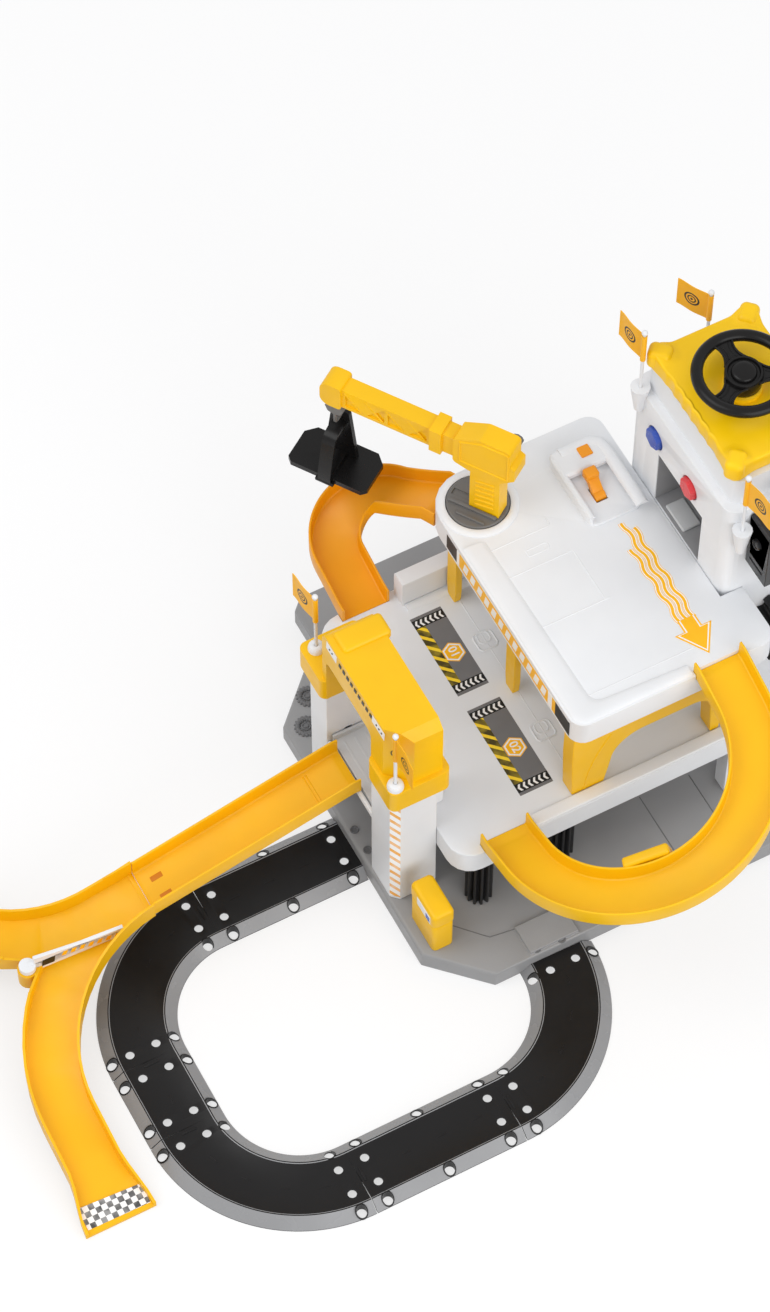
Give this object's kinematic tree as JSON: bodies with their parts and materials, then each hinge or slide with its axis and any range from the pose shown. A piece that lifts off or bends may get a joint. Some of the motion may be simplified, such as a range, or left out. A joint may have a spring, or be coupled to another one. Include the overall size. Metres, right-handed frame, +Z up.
{
  "type": "toy parking garage",
  "caption": "Yellow, white and grey toy parking garage with decks, ramps, a car lift, a crane, a tower with a steering wheel and a black road loop.",
  "frame": {"origin": "middle of the garage's base on the floor, at the foot of the base tray's central boss", "axes": "+Z up; -Y is the front, where the steep half-round ramp comes down; -X is the side of the lift, the long forked ramp and the road loop"},
  "size_m": [0.7544, 0.5347, 0.3944],
  "materials": {
    "base_grey": "satin moulded plastic",
    "blue_button": "glossy moulded plastic",
    "red_button": "glossy moulded plastic",
    "black_plastic": "satin moulded plastic",
    "orange_plastic": "satin moulded plastic",
    "yellow_plastic": "semi-gloss moulded plastic",
    "dark_plastic": "satin moulded plastic",
    "white_plastic": "semi-gloss moulded plastic",
    "light_plastic": "satin moulded plastic",
    "tyre_black": "satin moulded plastic",
    "road_black": "satin moulded plastic",
    "flag_sheet": "thin printed sheet"
  },
  "bodies": {
    "garage": {"base_tray": "base_grey", "deck_lower": "white_plastic", "deck_upper": "white_plastic", "flag_cloth_hood_front": "flag_sheet", "flag_cloth_hood_rear": "flag_sheet", "flag_cloth_tower_front": "flag_sheet", "flag_cloth_tower_left": "flag_sheet", "flag_cloth_tower_rear": "flag_sheet", "flag_pole_hood_front": "white_plastic", "flag_pole_hood_rear": "white_plastic", "flag_pole_tower_front": "white_plastic", "flag_pole_tower_left": "white_plastic", "flag_pole_tower_rear": "white_plastic", "fuel_pump": "yellow_plastic", "gear_box": "dark_plastic", "lift_hood": "yellow_plastic", "lift_pillar_front": "white_plastic", "lift_pillar_rear": "white_plastic", "portal_frame": "yellow_plastic", "ramp_fork": "yellow_plastic", "ramp_long": "yellow_plastic", "ramp_rear": "yellow_plastic", "ramp_side": "yellow_plastic", "road_curve_front_left": "road_black", "road_curve_front_right": "road_black", "road_curve_rear_left": "road_black", "road_straight_front": "road_black", "road_straight_left": "road_black", "road_straight_rear": "road_black", "side_leg_middle": "yellow_plastic", "side_leg_rear": "yellow_plastic", "spare_wheel": "tyre_black", "tower_body": "white_plastic", "tower_roof": "yellow_plastic"},
    "lift_car": {"lift_car": "light_plastic"},
    "crane": {"crane_turntable": "dark_plastic", "crane_tower": "yellow_plastic", "crane_boom": "yellow_plastic"},
    "crane_winch": {"crane_winch_knob": "dark_plastic"},
    "crane_hook": {"crane_hook": "dark_plastic"},
    "cargo_tray": {"cargo_tray": "black_plastic"},
    "steering_wheel": {"steering_wheel": "black_plastic"},
    "gear_lever": {"gear_lever": "black_plastic"},
    "button_blue": {"button_blue": "blue_button"},
    "button_red": {"button_red": "red_button"},
    "console_key": {"console_key": "orange_plastic"},
    "console_tiller": {"console_tiller": "orange_plastic"},
    "gate": {"gate_arm": "white_plastic"},
    "roller_left": {"wash_roller_front_left": "black_plastic"},
    "roller_middle": {"wash_roller_front_middle": "black_plastic"}
  },
  "joints": [
    {"name": "lift_slide", "type": "slide", "parent": "garage", "child": "lift_car", "axis": [0, 0, 1], "range_m": [-0.079, 0]},
    {"name": "crane_turn", "type": "hinge", "parent": "garage", "child": "crane", "pos_m": [-0.027, 0.131, 0.216], "axis": [0, 0, 1], "range_deg": [-75, 50]},
    {"name": "winch_turn", "type": "hinge", "parent": "crane", "child": "crane_winch", "pos_m": [-0.00587, 0.1163, 0.296], "axis": [-0.829, -0.5592, 0], "continuous": true},
    {"name": "hook_swivel", "type": "hinge", "parent": "crane", "child": "crane_hook", "pos_m": [-0.09522, 0.23214, 0.272], "axis": [0, 0, 1], "continuous": true},
    {"name": "tray_swing", "type": "hinge", "parent": "crane_hook", "child": "cargo_tray", "pos_m": [-0.08859, 0.23662, 0.241], "axis": [-0.829, -0.5592, 0], "range_deg": [-20, 20]},
    {"name": "steering_turn", "type": "hinge", "parent": "garage", "child": "steering_wheel", "pos_m": [0.143, 0.0435, 0.3676], "axis": [0, 0, 1], "continuous": true},
    {"name": "gear_tip", "type": "hinge", "parent": "garage", "child": "gear_lever", "pos_m": [0.134, -0.0423, 0.282], "axis": [0, 1, 0], "range_deg": [-18, 18]},
    {"name": "blue_press", "type": "slide", "parent": "garage", "child": "button_blue", "axis": [1, 0, 0], "range_m": [0, 0.002], "stiffness_N_per_m": 300},
    {"name": "red_press", "type": "slide", "parent": "garage", "child": "button_red", "axis": [1, 0, 0], "range_m": [0, 0.002], "stiffness_N_per_m": 300},
    {"name": "key_press", "type": "slide", "parent": "garage", "child": "console_key", "axis": [0, 0, -1], "range_m": [0, 0.0016], "stiffness_N_per_m": 300},
    {"name": "tiller_tip", "type": "hinge", "parent": "garage", "child": "console_tiller", "pos_m": [0.057, 0.093, 0.215], "axis": [1, 0, 0], "range_deg": [-12, 12]},
    {"name": "gate_swing", "type": "hinge", "parent": "garage", "child": "gate", "pos_m": [-0.474, 0.016, 0.047], "axis": [0, 0, 1], "range_deg": [0, 26]},
    {"name": "roller_left_turn", "type": "hinge", "parent": "garage", "child": "roller_left", "pos_m": [-0.134, -0.073, 0.018], "axis": [0, 0, 1], "continuous": true},
    {"name": "roller_middle_turn", "type": "hinge", "parent": "garage", "child": "roller_middle", "pos_m": [-0.06, -0.068, 0.018], "axis": [0, 0, 1], "continuous": true}
  ]
}
